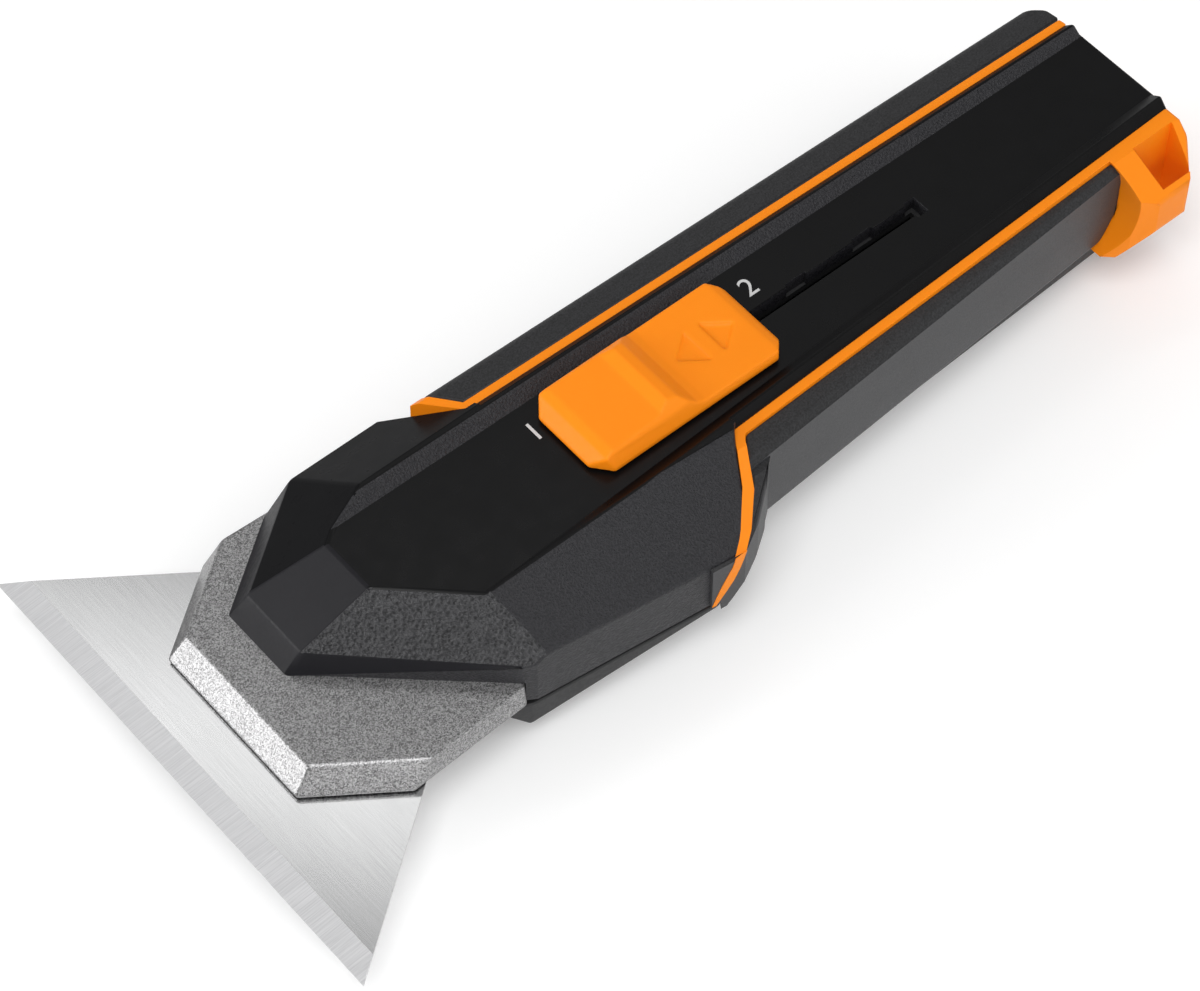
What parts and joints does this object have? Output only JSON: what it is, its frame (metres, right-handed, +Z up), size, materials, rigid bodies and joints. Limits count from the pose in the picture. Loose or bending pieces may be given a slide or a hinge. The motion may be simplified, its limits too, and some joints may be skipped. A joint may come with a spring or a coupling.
{
  "type": "razor blade scraper",
  "caption": "Hand scraper with a trapezoid razor blade across the head; a thumb slider swings the blade a quarter turn to a cutting place along the side.",
  "frame": {"origin": "under the middle of the tool, on the flat underside of the base", "axes": "+X forward to the cutting edge, +Y to the side with the blade slit, +Z up through the slider"},
  "size_m": [0.129, 0.061, 0.0229],
  "materials": {
    "black_plastic": "gloss black, grained on the facets",
    "base_plastic": "fine matte",
    "accent_plastic": "satin",
    "slider_plastic": "satin",
    "grip_rubber": "fine grain",
    "head_metal": "metallic grey with a fine sparkle",
    "blade_steel": "brushed, edge ground crosswise",
    "screw_steel": "dark plated",
    "pin_steel": "ground",
    "bar_steel": "zinc plated",
    "spring_steel": "rolled",
    "carrier_metal": "dark cast",
    "magnet_plating": "nickel plated",
    "washer_plastic": "natural"
  },
  "bodies": {
    "housing": {"upper_shell": "black_plastic", "lower_shell": "base_plastic", "core_frame": "accent_plastic", "left_grip": "grip_rubber", "right_grip": "grip_rubber", "head_plate": "head_metal", "plate_screws": "screw_steel", "housing_screws": "screw_steel", "pivot_pin": "pin_steel", "thrust_washer": "washer_plastic", "detent_plate": "bar_steel"},
    "slide": {"drive_bar": "bar_steel", "bar_rivets": "pin_steel", "slide_carriage": "base_plastic", "thumb_slider": "slider_plastic", "slider_pin": "pin_steel", "detent_spring": "spring_steel", "spring_rivet": "pin_steel"},
    "swing": {"blade_carrier": "carrier_metal", "crank_pin": "pin_steel", "blade_magnet": "magnet_plating", "blade": "blade_steel"}
  },
  "joints": [
    {"name": "slide_travel", "type": "slide", "parent": "housing", "child": "slide", "axis": [-1, 0, 0], "range_m": [0, 0.014], "deforming": ["detent_spring"]},
    {"name": "blade_swing", "type": "hinge", "parent": "housing", "child": "swing", "pos_m": [0.0431, -0.005, 0.005], "axis": [0, 0, 1], "range_deg": [0, 90]}
  ],
  "couplings": [
    {"joint": "blade_swing", "follows": "slide_travel", "rad_per_m": 112.2}
  ]
}
